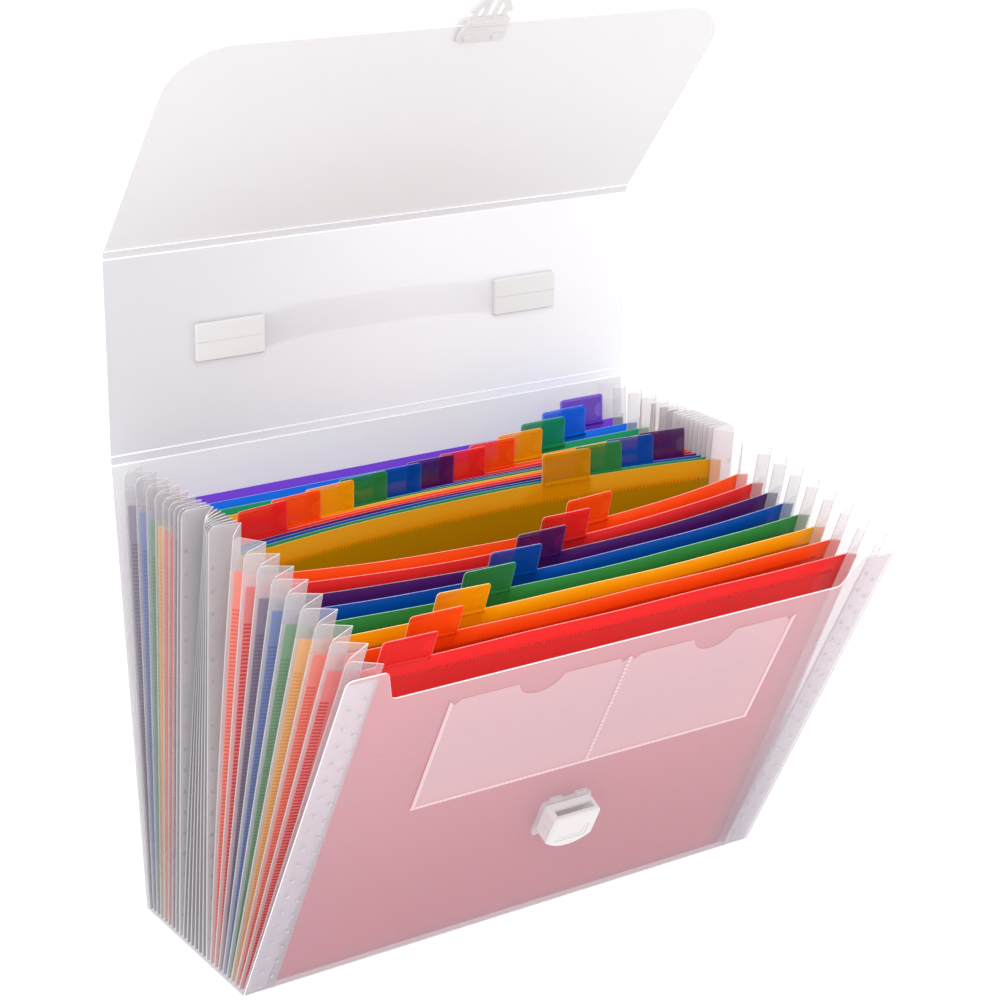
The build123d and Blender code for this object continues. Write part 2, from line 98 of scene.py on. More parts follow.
class Finish:
    """A material while its nodes are laid out."""

    def __init__(self, name):
        self.material = bpy.data.materials.new(name)
        self.material.use_nodes = True
        self.tree = self.material.node_tree
        self.tree.nodes.clear()
        self.place = self.node("ShaderNodeTexCoord", out="Object")

    def node(self, kind, settings=None, inputs=None, out=0):
        made = self.tree.nodes.new(kind)
        for key, value in (settings or {}).items():
            setattr(made, key, value)
        for key, value in (inputs or {}).items():
            if isinstance(value, Socket):
                self.tree.links.new(value.output, made.inputs[key])
            else:
                made.inputs[key].default_value = value
        return Socket(self, made.outputs[out]) if made.outputs else None

    def math(self, operation, *terms):
        return self.node("ShaderNodeMath", {"operation": operation}, dict(enumerate(terms)))

    def dot(self, vector, direction):
        terms = {0: vector, 1: direction}
        return self.node("ShaderNodeVectorMath", {"operation": "DOT_PRODUCT"}, terms, out="Value")

    def axis(self, vector, letter):
        return self.node("ShaderNodeSeparateXYZ", inputs={0: vector}, out=letter)

    def noise(self, scale, detail=2.0):
        values = {"Vector": self.place, "Scale": scale, "Detail": detail}
        return self.node("ShaderNodeTexNoise", inputs=values)

    def ramp(self, value, low, high, start=0.0, end=1.0):
        ends = {"Value": value, "From Min": low, "From Max": high, "To Min": start, "To Max": end}
        return self.node("ShaderNodeMapRange", {"interpolation_type": "SMOOTHSTEP"}, ends)

    def mix(self, share, first, second):
        # 6, 7 and out 2 are the node's sockets for colours.
        return self.node("ShaderNodeMix", {"data_type": "RGBA"}, {0: share, 6: first, 7: second}, out=2)

    def bump(self, height, strength, distance):
        values = {"Height": height, "Strength": strength, "Distance": distance}
        return self.node("ShaderNodeBump", inputs=values)

    def on_face(self, flat):
        """1 on the faces of a sheet that faces along flat, and 0 on its cut edges."""
        normal = self.node("ShaderNodeTexCoord", out="Normal")
        return self.ramp(abs(self.dot(normal, flat)), 0.3, 0.7)

    def done(self, inputs):
        shader = self.node("ShaderNodeBsdfPrincipled", inputs=inputs)
        self.node("ShaderNodeOutputMaterial", inputs={"Surface": shader})
        return self.material


def facing(node):
    """The direction that a flat piece faces, turned to the front."""
    widest = max(node.data.polygons, key=lambda face: face.area)
    return -widest.normal if widest.normal.y > 0 else widest.normal.copy()


# Painted highlight: the cover's cut edges are drawn near white and nearly opaque, as if catching the light.
edge_highlight_white = (0.97, 0.97, 0.98, 1)
edge_cover = 0.95
shade_rise_darkest, shade_rise_lightest = 0.15, 0.95


def frosted(name, flat, dark, light, cover, rise=None):
    """Frosted sheet that faces along flat.

    Cover is how much of what lies behind it each face hides. Rise is the axis along which its tone goes
    from dark to light, with the places where that starts and ends: a painted shade gradient, as if one end
    got less light. Without it the tone is cloudy.
    """
    sheet = Finish(name)
    face = sheet.on_face(flat)
    grain = sheet.noise(1500.0)
    if rise:
        letter, low, high = rise
        share = sheet.ramp(sheet.axis(sheet.place, letter), low, high, shade_rise_darkest, shade_rise_lightest)
    else:
        share = sheet.noise(7.0, 3.0)
    tone = sheet.mix(share, dark, light)
    return sheet.done({
        "Base Color": sheet.mix(face, edge_highlight_white, tone),
        "Roughness": 0.30 + 0.16 * grain,
        "Alpha": sheet.ramp(face, 0.0, 1.0, edge_cover, cover),
        "Normal": sheet.bump(grain, 0.03, 0.0002),
        "Specular IOR Level": 0.35,
        # Painted glow: a faint emission of the tone stands for light coming through the sheet.
        "Emission Color": tone,
        "Emission Strength": 0.05,
    })


# Painted light and shade: the panels are one sheet, but each gets its own dark and light tone, set to how
# lit it looks.
cover_looks = {
    "base_panel": ((0.62, 0.61, 0.64, 1), (0.68, 0.67, 0.70, 1), 0.60),
    "back_panel": ((0.66, 0.65, 0.68, 1), (0.72, 0.71, 0.74, 1), 0.50),
    "front_panel": ((0.52, 0.47, 0.54, 1), (0.80, 0.68, 0.74, 1), 0.32),
    "lid_panel": ((0.64, 0.64, 0.68, 1), (0.92, 0.92, 0.95, 1), 0.68),
    "front_crease_strip": ((0.64, 0.63, 0.67, 1), (0.70, 0.69, 0.73, 1), 0.55),
    "flap": ((0.78, 0.77, 0.78, 1), (0.84, 0.83, 0.84, 1), 0.60),
}
# Painted shade: these panels go from dark to light along an axis, darker where less light falls.
panel_shade_rise = {
    "front_panel": ("Z", 0.02, 0.22),
    "lid_panel": ("X", -0.19, 0.05),
    "flap": ("Z", 0.36, 0.44),
}
for name, (dark, light, hiding) in cover_looks.items():
    panel = nodes[name]
    look = frosted("cover_" + name, facing(panel), dark, light, hiding, panel_shade_rise.get(name))
    panel.material_slots[0].material = look

# Living hinges
# Where the cover folds, the sheet is pressed thin along a score line and bends there. Each web bridges the
# gap between two panels as they stand at rest; it is not bent as the cover opens and closes.

web_reach = 0.0008
web_sheet = 0.0005
joints = {joint["name"]: joint for joint in frame["joints"]}


def hinge_line(name):
    return Vector(joints[name]["pos_m"])


def lean_of(node):
    """A standing panel's angle from upright, positive where it leans back."""
    flat = facing(node)
    return atan2(flat.z, -flat.y)


def up_along(lean):
    return Vector((0, sin(lean), cos(lean)))


def new_piece(name, points, faces, materials):
    mesh = bpy.data.meshes.new(name)
    mesh.from_pydata(points, [], faces)
    for material in materials:
        mesh.materials.append(material)
    piece = bpy.data.objects.new(name, mesh)
    bpy.context.scene.collection.objects.link(piece)
    return piece


def grid_faces(rows, wide, first=0):
    """The faces between rows of points that follow one another, each row with wide points."""
    corners = [first + row * wide + column for row in range(rows) for column in range(wide - 1)]
    return [(corner, corner + 1, corner + wide + 1, corner + wide) for corner in corners]


def thicken(piece, thickness, rim=0):
    """Give a sheet its thickness, with its cut edges in a material of their own."""
    solid = piece.modifiers.new("thickness", "SOLIDIFY")
    solid.thickness = thickness
    solid.offset = 0
    solid.material_offset_rim = rim


def score_glow_finish():
    """The pressed line is smoother and clearer than the sheet, so it shines a little; its white emission is
    a painted highlight.
    """
    line = Finish("cover_score_line")
    grain = line.noise(700.0)
    return line.done({
        "Base Color": line.mix(grain, (0.94, 0.94, 0.95, 1), (0.98, 0.98, 0.99, 1)),
        "Roughness": 0.18 + 0.08 * grain,
        # Painted highlight: the score line glows white.
        "Emission Color": (1, 1, 1, 1),
        "Emission Strength": 0.22,
    })


web_glow_finish = score_glow_finish()
panel_lean = {name: lean_of(nodes[name]) for name in cover_looks if name != "base_panel"}
panel_up = {name: up_along(lean) for name, lean in panel_lean.items()}
webs = {
    "bellows_fold": (Vector((0, 1, 0)), panel_up["front_panel"]),
    "back_fold": (Vector((0, -1, 0)), panel_up["back_panel"]),
    "lid_fold": (-panel_up["back_panel"], panel_up["lid_panel"]),
    "flap_fold": (-panel_up["lid_panel"], panel_up["front_crease_strip"]),
    "flap_fold_outer": (-panel_up["front_crease_strip"], panel_up["flap"]),
}
cover_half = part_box("base_panel")[1][0]
for name, (before, after) in webs.items():
    line = hinge_line(name)
    route = [line + before * web_reach, line + before * web_reach / 2, line,
             line + after * web_reach / 2, line + after * web_reach]
    points = [place + Vector((side * cover_half, 0, 0)) for place in route for side in (-1, 1)]
    web = new_piece("hinge_web_" + name, points, grid_faces(len(route) - 1, 2), [web_glow_finish])
    thicken(web, web_sheet)
    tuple(route[0])
    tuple(route[-1])
    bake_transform(web)

strip_depth = 0.005
score_half = 0.00045
score_sheet = 0.00084
strip_lean = (panel_lean["back_panel"] + panel_lean["lid_panel"]) / 2
lid_foot = hinge_line("lid_fold") + up_along(strip_lean) * strip_depth
score_corners = ((-score_half, -1), (-score_half, 1), (score_half, 1), (score_half, -1))
points = [lid_foot + panel_up["lid_panel"] * up + Vector((side * cover_half, 0, 0))
          for up, side in score_corners]
lid_line = new_piece("lid_score_line", points, [(0, 1, 2, 3)], [web_glow_finish])
thicken(lid_line, score_sheet)
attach(lid_line, "lid")

# Bellows
# Milky polypropylene film, folded into pleats that open like a fan and welded to the dividers' edges. Each
# divider's margin is welded under one ply, so its colour shows through the film, short of the outer fold.

film = 0.00035
film_height = 0.247
film_rows = 12
film_white = 0.85
cloud_milk = 0.06
pleat_ply = 0.017
ply_shares = (0.0, 0.3, 0.56, 0.78, 0.86, 0.93, 0.98, 1.0)
valley_half = 0.1475
corner_round = 0.004
# Painted fold line: how far it reaches from the outer fold and how much more it hides.
painted_fold_reach, painted_fold_milk = 0.04, 0.2
foot_reach, foot_milk = 0.05, 0.18
margin_share, margin_milk = 0.88, 0.75
margin_fade = 0.01
divider_height = 0.229
top_fade = 0.0005
divider_colours = {
    "red": (0.88, 0.022, 0.022, 1),
    "orange": (1.0, 0.085, 0.006, 1),
    "yellow": (0.96, 0.41, 0.0, 1),
    "green": (0.028, 0.26, 0.055, 1),
    "blue": (0.0, 0.075, 0.43, 1),
    "purple": (0.075, 0.010, 0.13, 1),
}
colour_order = list(divider_colours)
divider_count = sum(name.startswith("divider_") for name in nodes)


def colour_of(number):
    """The name of a divider's colour."""
    return colour_order[(number - 1) % len(colour_order)]


def toned(colour, share, ground=0.0):
    """A share of a colour over a grey ground."""
    return tuple(ground + (part - ground) * share for part in colour[:3]) + (1,)


class Standing:
    """A sheet of the fan: its foot, its lean, how far it turns as the folder closes, and its body."""

    def __init__(self, joint, node):
        self.foot = hinge_line(joint)
        self.lean = lean_of(nodes[node])
        self.body = joints[joint]["child"]
        self.up = up_along(self.lean)
        self.out = Vector((0, -cos(self.lean), sin(self.lean)))
        end = max(joints[joint]["range_deg"], key=abs)
        self.turn = -joints[joint]["axis"][0] * end

    def at(self, x, up, off=0.0):
        return self.foot + Vector((x, 0, 0)) + self.up * up + self.out * off


fan = [Standing("bellows_fold", "front_panel")]
fan += [Standing(f"divider_{n:02d}_fold", f"divider_{n:02d}") for n in range(1, divider_count + 1)]
fan.append(Standing("back_fold", "back_panel"))


def film_finish(name, colour=None, milk=0.22, tone=0.60, tint=0.62, reach=margin_share, haze=0.0,
                crest=0.90):
    """Film whose u runs from 0 at the inner fold over 1 at the outer fold to 2, and whose v is the height.

    Milk is how much the film hides, and tint how much of a divider's colour it shows. The colour has a
    reach, which is a share of the ply, with a haze of it beyond. The outer fold is painted in its own tone:
    a painted highlight where that tone is pale, and a painted dark line where it is low.
    """
    sheet = Finish(name)
    place = sheet.node("ShaderNodeUVMap", {"uv_map": "film"})
    from_crest = abs(sheet.axis(place, "X") - 1.0)
    v = sheet.axis(place, "Y")
    grain = sheet.noise(1200.0)
    cloud = sheet.noise(30.0)
    # Painted line along the outer fold: a highlight where its tone is pale, shade where it is low.
    fold = sheet.ramp(from_crest, 0.0, painted_fold_reach, 1.0, 0.0)
    low = sheet.ramp(v, 0.0, foot_reach, foot_milk, 0.0)
    tone = sheet.mix(cloud, (tone, tone - 0.03, tone, 1), (tone + 0.08, tone + 0.04, tone + 0.07, 1))
    alpha = milk + cloud_milk * cloud + low
    if colour:
        inside = sheet.ramp(1 - from_crest, reach - margin_fade, reach + margin_fade, 1.0, 0.0)
        below = sheet.ramp(v, divider_height - top_fade, divider_height + top_fade, 1.0, 0.0)
        margin = (haze + (1 - haze) * inside) * below
        tone = sheet.mix(margin, tone, toned(colour, tint, film_white))
        alpha = alpha + margin_milk * tint * margin
    return sheet.done({
        "Base Color": sheet.mix(fold, tone, (crest, crest, crest + 0.01, 1)),
        "Roughness": 0.26 + 0.14 * grain,
        "Alpha": alpha + painted_fold_milk * fold,
        "Normal": sheet.bump(grain + 3.0 * cloud, 0.05, 0.0002),
    })


def film_row(start, **look):
    """One film for each colour of divider."""
    return {name: film_finish(start + name, colour, **look) for name, colour in divider_colours.items()}


# Painted light and shade: the same film gets darker tones on the left-hand plies and pale ones on the
# right-hand plies and weld strips, as if lit from behind.
film_front = film_finish("film_front")
film_plain = film_finish("film_plain", milk=0.20, tone=0.92, crest=0.45)
film_seam = film_finish("film_seam", milk=0.5, tone=0.66)
film_tight = film_finish("film_tight", milk=0.42, tone=0.54)
film_lit_pale = film_finish("film_lit_pale", milk=0.16, tone=0.92, crest=0.45)
film_strip = film_finish("film_strip", milk=0.62, tone=0.96)
film_tints = film_row("film_over_", tone=0.74, tint=0.72, haze=0.3)
film_rear = film_row("film_behind_", reach=0.92)
film_hints = film_row("film_near_", milk=0.15, tone=0.92, tint=0.25, crest=0.45)
film_margins = film_row("film_beside_", milk=0.18, tone=0.92, tint=0.6, reach=0.34, crest=0.45)
sideways = Vector((1, 0, 0))
# The far edges are a darker copy of the film's edges: painted shade.
film_edge = frosted("film_edge", sideways, (0.70, 0.69, 0.70, 1), (0.78, 0.77, 0.78, 1), 0.6)
film_shaded_far_edge = frosted("film_shaded_far_edge", sideways, (0.40, 0.40, 0.41, 1), (0.46, 0.46, 0.47, 1), 0.6)
lengths = {"front": range(1, 9), "middle": range(9, 17), "rear": range(17, divider_count + 2)}
seams = (10, 17)
tight_pockets = range(10, 19)
bunched_pockets = range(11, 17)
bunch_pitch = 0.0024


def corner_drop(share):
    """How far the film's top edge is rounded down near the outer fold."""
    reach = (1 - share) * pleat_ply
    if reach >= corner_round:
        return 0.0
    return corner_round - sqrt(corner_round**2 - (corner_round - reach) ** 2)


def fold_rest(number):
    """How far back a pleat's outer fold stands at the film's top, half way between its two sheets."""
    return (fan[number - 1].at(0, film_height).y + fan[number].at(0, film_height).y) / 2


def flop_of(number, side):
    """How far the top of an outer fold lies forwards: the tight pleats on the left lie bunched."""
    if side > 0 or number not in bunched_pockets:
        return 0.0
    lead = bunched_pockets[0] - 1
    return fold_rest(number) - fold_rest(lead) - bunch_pitch * (number - lead)


def ply_share(u):
    """How far a point lies from its inner fold to the outer fold."""
    return u if u <= 1 else 2 - u


def pleat_point(number, side, u, up):
    """A point of one side's pleat of a pocket, at u across the film and a height up the sheets."""
    front, rear = fan[number - 1].at(0, up), fan[number].at(0, up)
    flop = flop_of(number, side) * up / film_height
    middle = (front + rear) / 2 - Vector((0, flop, 0))
    outer = valley_half + sqrt(max(pleat_ply**2 - ((rear - front).length / 2 + flop) ** 2, 0))
    share = ply_share(u)
    inner = front if u <= 1 else rear
    return inner.lerp(middle, share) + Vector((side * (valley_half + (outer - valley_half) * share), 0, 0))


def lay_map(piece, name, places):
    """Give a piece the flat coordinates of its points as a UV map."""
    layer = piece.data.uv_layers.new(name=name)
    for loop in piece.data.loops:
        layer.data[loop.index].uv = places[loop.vertex_index]


def pleat_mesh(number, materials):
    """Both pleats of one pocket, left and right, each with its front and rear plies and their edges."""
    us = list(ply_shares) + [2 - share for share in ply_shares[-2::-1]]
    points, places, faces, kinds = [], [], [], []
    for side, kind in ((-1, 0), (1, 4)):
        grid = grid_faces(film_rows, len(us), len(points))
        faces += grid if side > 0 else [face[::-1] for face in grid]
        kinds += [kind + (2 if u >= 1 else 0) for u in us[:-1]] * film_rows
        for row in range(film_rows + 1):
            for u in us:
                up = (film_height - corner_drop(ply_share(u))) * row / film_rows
                points.append(pleat_point(number, side, u, up))
                places.append((u, up))
    pleat = new_piece(f"bellows_pleat_{number:02d}", points, faces, materials)
    lay_map(pleat, "film", places)
    for face, kind in zip(pleat.data.polygons, kinds):
        face.material_index = kind
        face.use_smooth = False
    return pleat


turn_limit = 0.995


def smooth_share(weight):
    """The place along a blend where its eased weight has a value."""
    return 0.5 - sin(asin(1 - 2 * weight) / 3)


def follow_fan(piece, near, far):
    """Bake a piece's transform. It lies between two sheets of the fan, which turn by different angles, but
    it is not bent with them.
    """
    lead, other = (near, far) if abs(near.turn) >= abs(far.turn) else (far, near)
    share = min(max(other.turn / lead.turn, 0.0), turn_limit)
    middle = (lead.lean + other.lean) / 2
    across = Vector((0, -cos(middle), sin(middle)))
    end = lead.at(0, film_height)
    gap = across * (other.at(0, film_height) - end).dot(across)
    end + gap / (1 - smooth_share(share))
    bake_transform(piece)


for length, pockets in lengths.items():
    for number in pockets:
        left_ply, right_ply, rear_ply, right_edge = film_front, film_lit_pale, film_plain, film_shaded_far_edge
        if number in seams:
            left_ply = film_seam
        elif number in tight_pockets:
            left_ply = film_tight
        elif number > 1:
            colour = colour_of(number - 1)
            left_ply = film_rear[colour] if number > tight_pockets[-1] else film_tints[colour]
            right_ply = film_hints[colour]
        if number <= divider_count:
            rear_ply = film_margins[colour_of(number)]
        left_rear = film_tight if number in bunched_pockets else rear_ply
        if number in tight_pockets:
            right_ply, rear_ply, right_edge = film_strip, film_strip, film_edge
        pleat = pleat_mesh(number, [left_ply, film_edge, left_rear, film_edge,
                                    right_ply, right_edge, rear_ply, right_edge])
        thicken(pleat, film, rim=1)
        follow_fan(pleat, fan[number - 1], fan[number])
        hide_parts(f"bellows_left_{length}", f"bellows_right_{length}")

# Weld marks of the bellows
# The dividers' margins are welded to the film with a comb of short bars. The lengths of film are joined to
# each other, and to the front and back panels, with rows of round spots.

bar_pitch = 0.0022
bar_size = (0.0042, 0.0009, 0.0003)
bar_share = 0.74
bar_lift = 0.00025
bar_foot, bar_top = 0.012, 0.212
comb_covers = {"red": 0.5, "orange": 0.3, "yellow": 0.2, "green": 0.2, "blue": 0.2, "purple": 0.2}
comb_press = 0.9
spot_pitch = 0.0125
spot_size = (0.0023, 0.0023, 0.0006)
spot_share = 0.86
spot_lift = 0.0001
spot_sides, spot_rings = 10, 6
panel_spot_rows = ((0.1515, 0.0), (0.1585, -spot_pitch / 2))
panel_spot_lift = 0.0005
weld_tab_width = 0.0165
weld_tab_foot, weld_tab_top = 0.002, 0.236
weld_tab_depth = 0.0007
weld_tab_place = (0.3, 0.1)


def mark_tree(name, kind):
    """Geometry nodes that set one mark at each step along a line."""
    tree = bpy.data.node_groups.new(name, "GeometryNodeTree")
    made = tree.nodes.new
    inputs = {"Count": "Int", "Start": "Vector", "Step": "Vector", "Size": "Vector", "Material": "Material"}
    for label, value in inputs.items():
        tree.interface.new_socket(label, in_out="INPUT", socket_type="NodeSocket" + value)
    tree.interface.new_socket("Geometry", in_out="OUTPUT", socket_type="NodeSocketGeometry")
    given, result = made("NodeGroupInput"), made("NodeGroupOutput")
    line = made("GeometryNodeMeshLine")
    mark = made(kind)
    if kind == "GeometryNodeMeshUVSphere":
        mark.inputs["Segments"].default_value = spot_sides
        mark.inputs["Rings"].default_value = spot_rings
        mark.inputs["Radius"].default_value = 0.5
    spread = made("GeometryNodeInstanceOnPoints")
    real = made("GeometryNodeRealizeInstances")
    paint = made("GeometryNodeSetMaterial")
    for source, target in (
        (given.outputs["Count"], line.inputs["Count"]),
        (given.outputs["Start"], line.inputs["Start Location"]),
        (given.outputs["Step"], line.inputs["Offset"]),
        (line.outputs["Mesh"], spread.inputs["Points"]),
        (mark.outputs["Mesh"], spread.inputs["Instance"]),
        (given.outputs["Size"], spread.inputs["Scale"]),
        (spread.outputs["Instances"], real.inputs["Geometry"]),
        (real.outputs["Geometry"], paint.inputs["Geometry"]),
        (given.outputs["Material"], paint.inputs["Material"]),
        (paint.outputs["Geometry"], result.inputs["Geometry"]),
    ):
        tree.links.new(source, target)
    return tree


def marks(tree, values):
    """The marks that a tree makes from named values, as a plain mesh."""
    holder = new_piece("marks", [], [], [])
    maker = holder.modifiers.new("marks", "NODES")
    maker.node_group = tree
    for item in tree.interface.items_tree:
        if item.in_out == "INPUT":
            maker[item.identifier] = values[item.name]
    holder.update_tag()
    graph = bpy.context.evaluated_depsgraph_get()
    mesh = bpy.data.meshes.new_from_object(holder.evaluated_get(graph))
    bpy.data.objects.remove(holder)
    return mesh


def gather(name, placed):
    """One piece from several meshes, each with the function that puts its points in place."""
    joined = bmesh.new()
    materials = []
    for mesh, put in placed:
        start, first = len(joined.verts), len(joined.faces)
        joined.from_mesh(mesh)
        joined.verts.ensure_lookup_table()
        joined.faces.ensure_lookup_table()
        for vert in joined.verts[start:]:
            vert.co = put(*vert.co)
        paint = mesh.materials[mesh.polygons[0].material_index]
        if paint not in materials:
            materials.append(paint)
        for face in joined.faces[first:]:
            face.material_index = materials.index(paint)
    bmesh.ops.recalc_face_normals(joined, faces=joined.faces)
    piece = new_piece(name, [], [], materials)
    joined.to_mesh(piece.data)
    joined.free()
    return piece


def bar_finish(name, colour, cover, press=0.55):
    """A weld mark: the sheet's colour, darker and smoother where the tool pressed it."""
    bar = Finish(name)
    grain = bar.noise(800.0)
    return bar.done({
        "Base Color": bar.mix(grain, toned(colour, press), colour),
        "Roughness": 0.28 + 0.1 * grain,
        "Alpha": cover,
    })


bar_tree = mark_tree("weld_bars", "GeometryNodeMeshCube")
spot_tree = mark_tree("weld_spots", "GeometryNodeMeshUVSphere")
weld_finish = bar_finish("weld_spots", (0.66, 0.63, 0.65, 1), 0.75)
panel_weld_finish = bar_finish("panel_weld_spots", (0.90, 0.86, 0.88, 1), 0.5)
combs = {name: marks(bar_tree, {
    "Count": int((bar_top - bar_foot) / bar_pitch),
    "Start": (0, bar_foot, bar_lift),
    "Step": (0, bar_pitch, 0),
    "Size": bar_size,
    "Material": bar_finish("weld_comb_" + name, colour, comb_covers[name], comb_press),
}) for name, colour in divider_colours.items()}
spots, panel_spots = (marks(spot_tree, {
    "Count": int(film_height / spot_pitch) - 1,
    "Start": (0, spot_pitch, spot_lift),
    "Step": (0, spot_pitch, 0),
    "Size": spot_size,
    "Material": look,
}) for look in (weld_finish, panel_weld_finish))


def on_ply(number, side, share):
    """Puts marks on the outside of a pocket's front ply, at a share of its width."""
    nudge = 0.01

    def put(across, up, off):
        ahead = pleat_point(number, side, share + nudge, up) - pleat_point(number, side, share, up)
        outward = Vector((ahead.y, -ahead.x, 0)).normalized() * side
        return pleat_point(number, side, share + across / pleat_ply, up) + outward * off

    return put


for number in range(2, len(fan)):
    pattern, share = combs[colour_of(number - 1)], bar_share
    if number in seams:
        pattern, share = spots, spot_share
    rows = [(pattern, on_ply(number, side, share)) for side in (-1, 1)]
    welds = gather(f"bellows_welds_{number:02d}", rows)
    follow_fan(welds, fan[number - 1], fan[number])


def on_sheet(place, side, x, shift, height):
    """Puts marks on the face of a standing panel."""
    return lambda across, up, off: place.at(side * (x + across), up + shift, height + off)


for label, place, face in (("front", fan[0], 1), ("back", fan[-1], -1)):
    rows = [(panel_spots, on_sheet(place, side, x, shift, face * panel_spot_lift))
            for side in (-1, 1) for x, shift in panel_spot_rows]
    welds = gather(f"panel_welds_{label}", rows)
    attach(welds, place.body)
    outline = ((0, weld_tab_foot), (weld_tab_width, weld_tab_foot),
               (weld_tab_width, weld_tab_top), (0, weld_tab_top))
    points = [place.at(side * (valley_half + x), up, -face * weld_tab_depth)
              for side in (-1, 1) for x, up in outline]
    faces = [(0, 1, 2, 3), (4, 5, 6, 7)]
    weld_tab = new_piece(f"bellows_weld_tabs_{label}", points, faces, [film_strip, film_edge])
    lay_map(weld_tab, "film", [weld_tab_place] * len(points))
    thicken(weld_tab, film, rim=1)
    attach(weld_tab, place.body)

# Dividers
# Thin translucent polypropylene sheets in six colours, each with a label tab on its top edge. The middle of
# a sheet bows as the bellows pull its sides, and its cut edges are bright because they carry light.

divider_sheet = 0.0005
divider_half = 0.147
sheet_rows, side_columns = 18, 14
tab_size = (0.030, 0.016)
tab_pitch = 0.0226
tabs_per_row = 12
tab_round = 0.002
tab_rows, tab_columns, round_steps = 3, 6, 3
front_bow, rear_bow = 0.016, 0.013
rear_bow_first, rear_bow_last = 9, 21
bow_growth = 1.5
ripple_depth, ripple_turns, ripple_shift = 0.0003, 60, 1.7
weld_row = 0.2185
shade_fade = 0.0006
tab_fade = 0.001
lit_top_tone, cloud_tone, shadow_share = 1.05, 0.12, 0.2
sheet_cover, tab_cover, sleeve_cover = 0.93, 0.62, 0.35


def bow_of(number):
    """How far the middle of a divider's top edge bows out of its plane, forwards being positive."""
    if number < rear_bow_first:
        return front_bow * (number / (rear_bow_first - 1)) ** bow_growth
    if number <= rear_bow_last:
        reach = (number - rear_bow_first) / (rear_bow_last - rear_bow_first)
        return -rear_bow * (1 - reach**bow_growth)
    return 0.0


def bowed(number):
    """Puts flat points of a divider, across and up, in its bowed place."""
    place, depth = fan[number], bow_of(number)

    def put(x, up, off=0.0):
        rise = max(up, 1e-6) / divider_height
        share = rise * max(1 - (x / (divider_half * rise)) ** 2, 0.0)
        ripple = ripple_depth * sin(ripple_turns * x + ripple_shift * number) * share
        return place.at(x, up, depth * share + ripple + off)

    return put


def divider_finish(name, colour, thin, shade, deep=None):
    """Coloured sheet whose v is the height.

    Thin is how much its tab hides. Shade is the painted shade of its tone below the weld row, where less
    light reaches, and deep its darkest painted shadow colour; over the weld row the tone is painted a little
    lighter.
    The faint emission of the tone is a painted glow for light through the sheet.
    """
    sheet = Finish(name)
    up = sheet.axis(sheet.node("ShaderNodeUVMap", {"uv_map": "sheet"}), "Y")
    cloud = sheet.noise(14.0, 3.0)
    grain = sheet.noise(1300.0)
    # Painted shade below the weld row and painted light over it, from where the sheet stands in the pockets.
    above = sheet.ramp(up, weld_row - shade_fade, weld_row + shade_fade, shade, lit_top_tone)
    tone = sheet.mix(above - cloud_tone * cloud, deep or toned(colour, shadow_share), colour)
    return sheet.done({
        "Base Color": tone,
        "Roughness": 0.30 + 0.14 * grain,
        "Alpha": sheet.ramp(up, divider_height, divider_height + tab_fade, sheet_cover, thin),
        "Normal": sheet.bump(grain + 4.0 * cloud, 0.12, 0.0003),
        "Specular IOR Level": 0.1,
        "Emission Color": tone,
        "Emission Strength": 0.06,
    })


def edge_finish(name, colour):
    """The cut edge of a coloured sheet, pale from the light that it carries."""
    edge = Finish(name)
    grain = edge.noise(900.0)
    tone = edge.mix(grain, colour, toned(colour, 0.55, 1.0))
    return edge.done({
        "Base Color": tone,
        "Roughness": 0.25 + 0.1 * grain,
        "Emission Color": tone,
        "Emission Strength": 0.35,
    })


# Painted light: the rear dividers get brighter copies of green, blue and purple.
rear_first = 19
rear_lit_colours = dict(divider_colours, green=(0.008, 0.34, 0.14, 1), blue=(0.004, 0.17, 0.90, 1),
                    purple=(0.20, 0.06, 0.68, 1))
# Painted shade: divider 9, deep in the wide pocket, gets a darker copy of yellow and its own shadow colour.
wide_pocket = 9
wide_shaded_colours = {"yellow": (0.64, 0.28, 0.0, 1)}
row_shadow_colours = {"wide": (0.32, 0.23, 0.0, 1)}
# How dark each colour is painted below the weld row: painted shade.
row_painted_shades = {"red": 0.88, "orange": 0.80, "yellow": 0.34, "green": 0.55, "blue": 0.50, "purple": 0.60}
sheet_finishes, sleeve_finishes, edge_finishes = {}, {}, {}
for row, colours in (("front", divider_colours), ("wide", wide_shaded_colours), ("rear", rear_lit_colours)):
    for name, colour in colours.items():
        tones = row_painted_shades[name], row_shadow_colours.get(row)
        sheet_finishes[row, name] = divider_finish(f"divider_{row}_{name}", colour, tab_cover, *tones)
        sleeve_finishes[row, name] = divider_finish(f"sleeve_{row}_{name}", colour, sleeve_cover, *tones)
        edge_finishes[row, name] = edge_finish(f"divider_edge_{row}_{name}", colour)


def look_of(number):
    """The row and the colour whose finishes a divider has."""
    row = "rear" if number >= rear_first else "wide" if number == wide_pocket else "front"
    return row, colour_of(number)


def tab_middle(number):
    """How far a divider's tab stands from the sheet's middle."""
    return ((number - 1) % tabs_per_row - (tabs_per_row - 1) / 2) * tab_pitch


def steps(low, high, count):
    return [low + (high - low) * step / count for step in range(count + 1)]


def rounded(x, up, low, high, top):
    """A point of a tab, drawn in where the tab's top corners are round."""
    side = -1 if x < (low + high) / 2 else 1
    middle = low + tab_round if side < 0 else high - tab_round
    a, b = side * (x - middle) / tab_round, (up - (top - tab_round)) / tab_round
    if a <= 0 or b <= 0:
        return x, up
    across, rise = a * sqrt(1 - b * b / 2), b * sqrt(1 - a * a / 2)
    return middle + side * tab_round * across, top - tab_round + tab_round * rise


